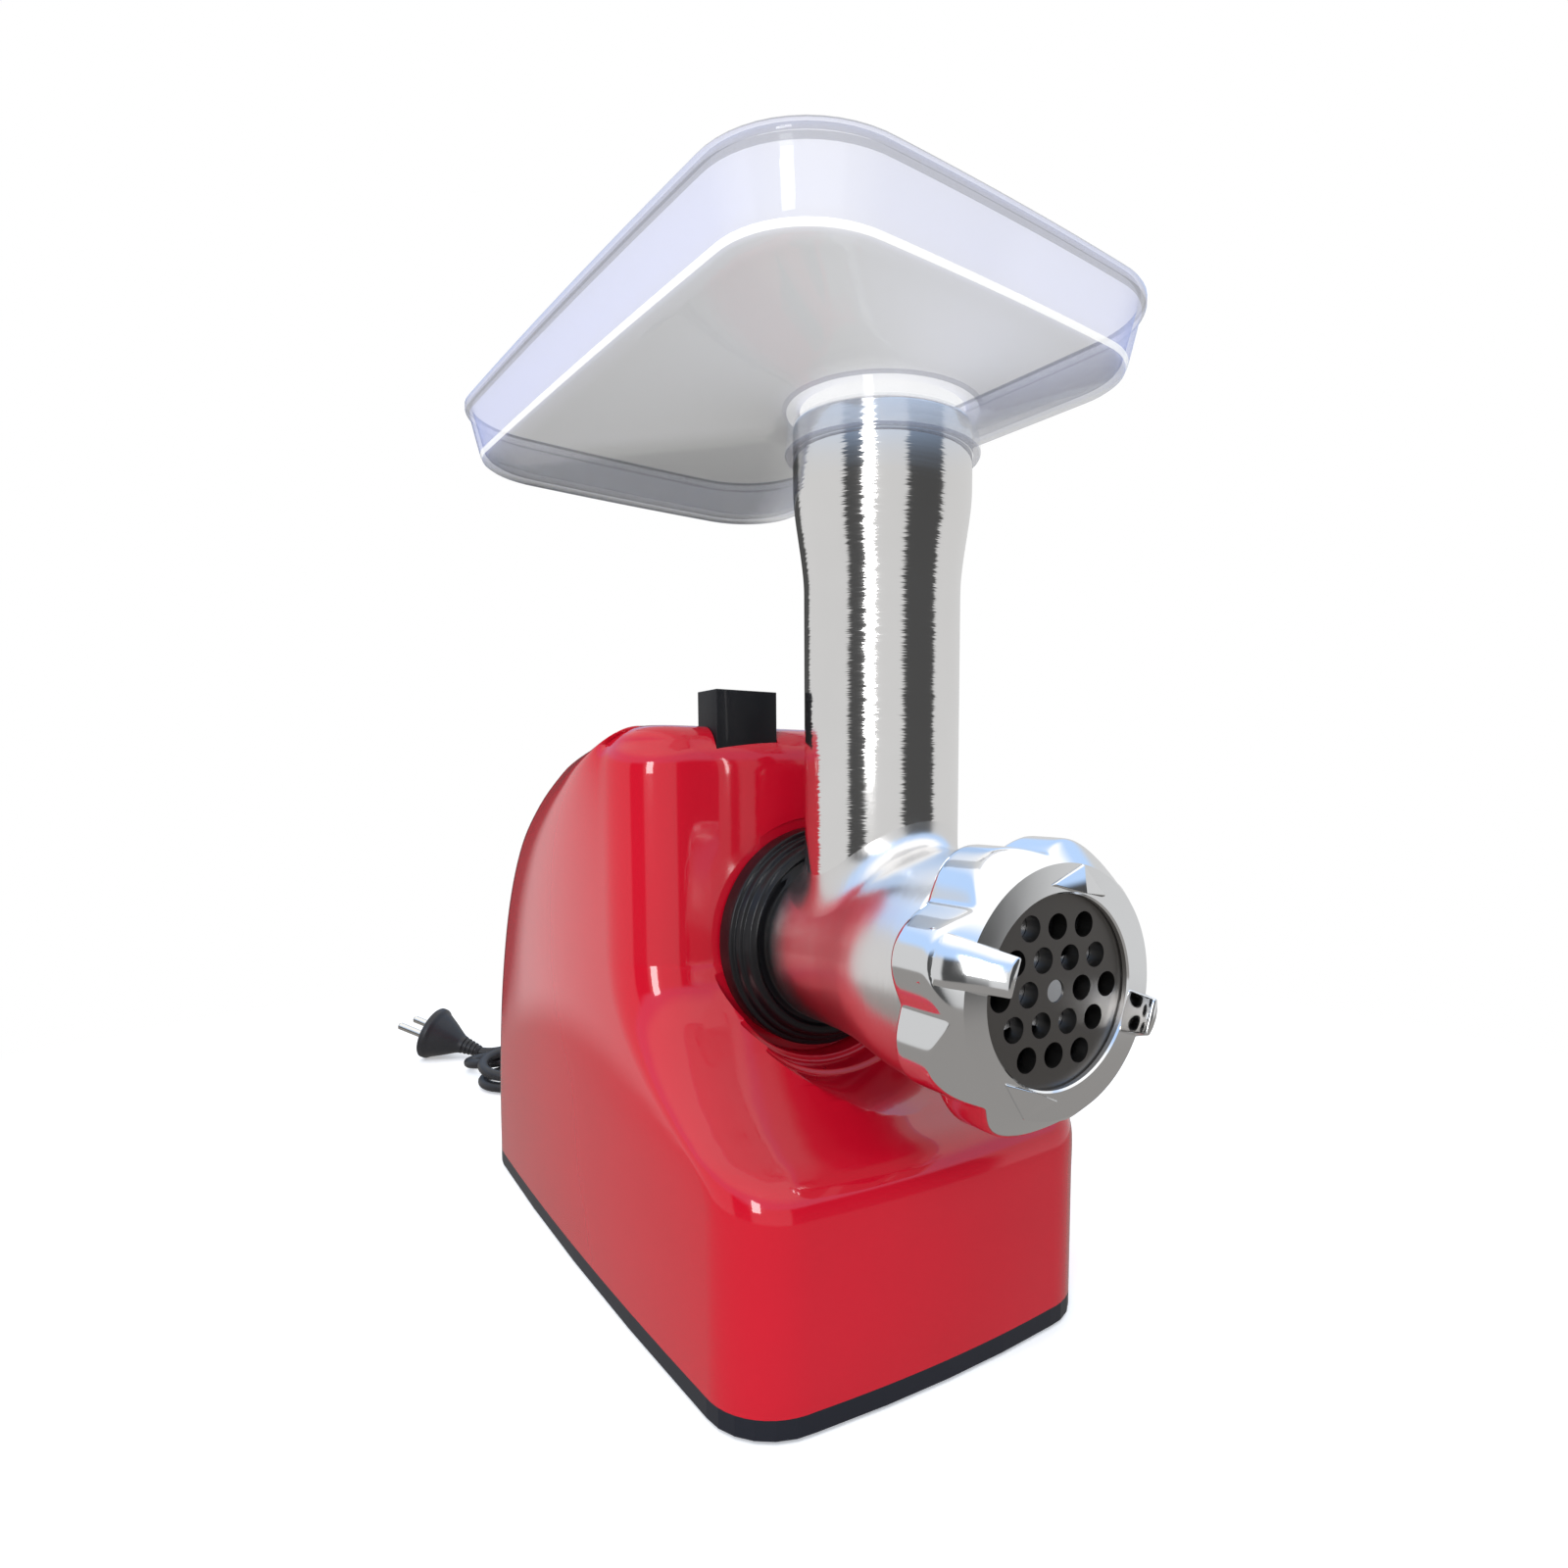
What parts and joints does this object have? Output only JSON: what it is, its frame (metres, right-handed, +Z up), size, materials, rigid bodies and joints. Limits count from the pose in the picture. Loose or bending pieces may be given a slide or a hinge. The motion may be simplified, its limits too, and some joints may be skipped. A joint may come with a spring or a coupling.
{
  "type": "electric meat grinder",
  "caption": "Countertop electric meat grinder: moulded housing, bayonet head with worm, knife, plate and ring nut, feed tray, geared motor and folded mains lead.",
  "frame": {"origin": "under the middle of the machine's bounding box without the free cord, at the bottom of the feet", "axes": "+Z up, the outlet faces -Y, +X to the right seen from the outlet; the barrel, worm, gears and motor all lie along Y"},
  "size_m": [0.1841, 0.5576, 0.347],
  "materials": {
    "housing": "glossy red moulding",
    "base": "dark moulding",
    "rubber": "matte",
    "steel": "satin",
    "black_gloss": "glossy black",
    "case": "die cast",
    "gear": "sintered",
    "bronze": "plain bearing bronze",
    "lamination": "stacked sheet",
    "copper": "lacquered wire",
    "dark_plastic": "moulded",
    "carbon": "pressed carbon",
    "head": "polished casting",
    "nut": "polished casting",
    "tray": "clear tinted moulding",
    "cord": "flexible jacket",
    "pins": "plated"
  },
  "bodies": {
    "base": {"housing_shell": "housing", "base_plate": "base", "rubber_feet": "rubber", "base_screws": "steel", "mouth_collar": "black_gloss", "collar_screws": "steel", "switch_body": "black_gloss", "gearbox_front": "case", "gearbox_rear": "case", "gearbox_screws": "steel", "output_bush": "bronze", "idler_two_axle": "steel", "idler_one_axle": "steel", "stator_core": "lamination", "field_coils": "copper", "motor_bracket": "case", "motor_bearings": "steel", "brush_holders": "bronze", "carbon_brushes": "carbon", "motor_screws": "steel", "strain_relief": "cord", "cord_lead": "cord", "cord_hank": "cord", "cord_tie": "cord", "cord_tail": "cord", "plug_body": "cord", "plug_pins": "pins", "button_spring": "steel"},
    "rotor": {"motor_pinion": "steel", "rotor_shaft": "steel", "rotor_core": "lamination", "rotor_windings": "copper", "commutator": "copper", "cooling_fan": "dark_plastic"},
    "idler_one": {"idler_one": "gear"},
    "idler_two": {"idler_two": "gear"},
    "drive": {"output_gear": "gear", "auger_drive": "steel", "auger": "head", "knife": "steel"},
    "lock": {"lock_button": "black_gloss", "lock_yoke": "steel"},
    "rocker": {"power_rocker": "black_gloss"},
    "head": {"barrel": "head", "feed_tube": "head", "barrel_bush": "bronze"},
    "plate": {"cutting_plate": "steel"},
    "nut": {"ring_nut": "nut"},
    "tray": {"feed_tray": "tray"}
  },
  "joints": [
    {"name": "rotor_spin", "type": "hinge", "parent": "base", "child": "rotor", "pos_m": [0.00475, 0.0366, 0.06], "axis": [0, -1, 0], "continuous": true},
    {"name": "first_gear_spin", "type": "hinge", "parent": "base", "child": "idler_one", "pos_m": [0.01104, -0.0034, 0.0881], "axis": [0, -1, 0], "continuous": true},
    {"name": "second_gear_spin", "type": "hinge", "parent": "base", "child": "idler_two", "pos_m": [-0.01775, -0.0184, 0.09653], "axis": [0, -1, 0], "continuous": true},
    {"name": "worm_spin", "type": "hinge", "parent": "base", "child": "drive", "pos_m": [0.00475, -0.0634, 0.1355], "axis": [0, -1, 0], "continuous": true},
    {"name": "head_twist", "type": "hinge", "parent": "base", "child": "head", "pos_m": [0.00475, -0.0634, 0.1355], "axis": [0, 1, 0], "range_deg": [0, 40]},
    {"name": "nut_turn", "type": "hinge", "parent": "plate", "child": "nut", "pos_m": [0.00475, -0.1634, 0.1355], "axis": [0, -1, 0], "range_deg": [0, 720]},
    {"name": "plate_out", "type": "slide", "parent": "head", "child": "plate", "axis": [0, -1, 0], "range_m": [0, 0.006]},
    {"name": "tray_lift", "type": "slide", "parent": "head", "child": "tray", "axis": [0, 0, 1], "range_m": [0, 0.03]},
    {"name": "lock_press", "type": "slide", "parent": "base", "child": "lock", "axis": [0, 0, -1], "range_m": [0, 0.004], "stiffness_N_per_m": 400, "springref_m": -0.001, "deforming": ["button_spring"]},
    {"name": "rocker_tilt", "type": "hinge", "parent": "base", "child": "rocker", "pos_m": [0.07645, 0.0866, 0.07], "axis": [0, 0, 1], "range_deg": [-8, 8]}
  ],
  "couplings": [
    {"joint": "first_gear_spin", "follows": "rotor_spin", "ratio": -0.2},
    {"joint": "second_gear_spin", "follows": "rotor_spin", "ratio": 0.05},
    {"joint": "worm_spin", "follows": "rotor_spin", "ratio": -0.0125},
    {"joint": "plate_out", "follows": "nut_turn", "m_per_rad": 0.00047746}
  ]
}
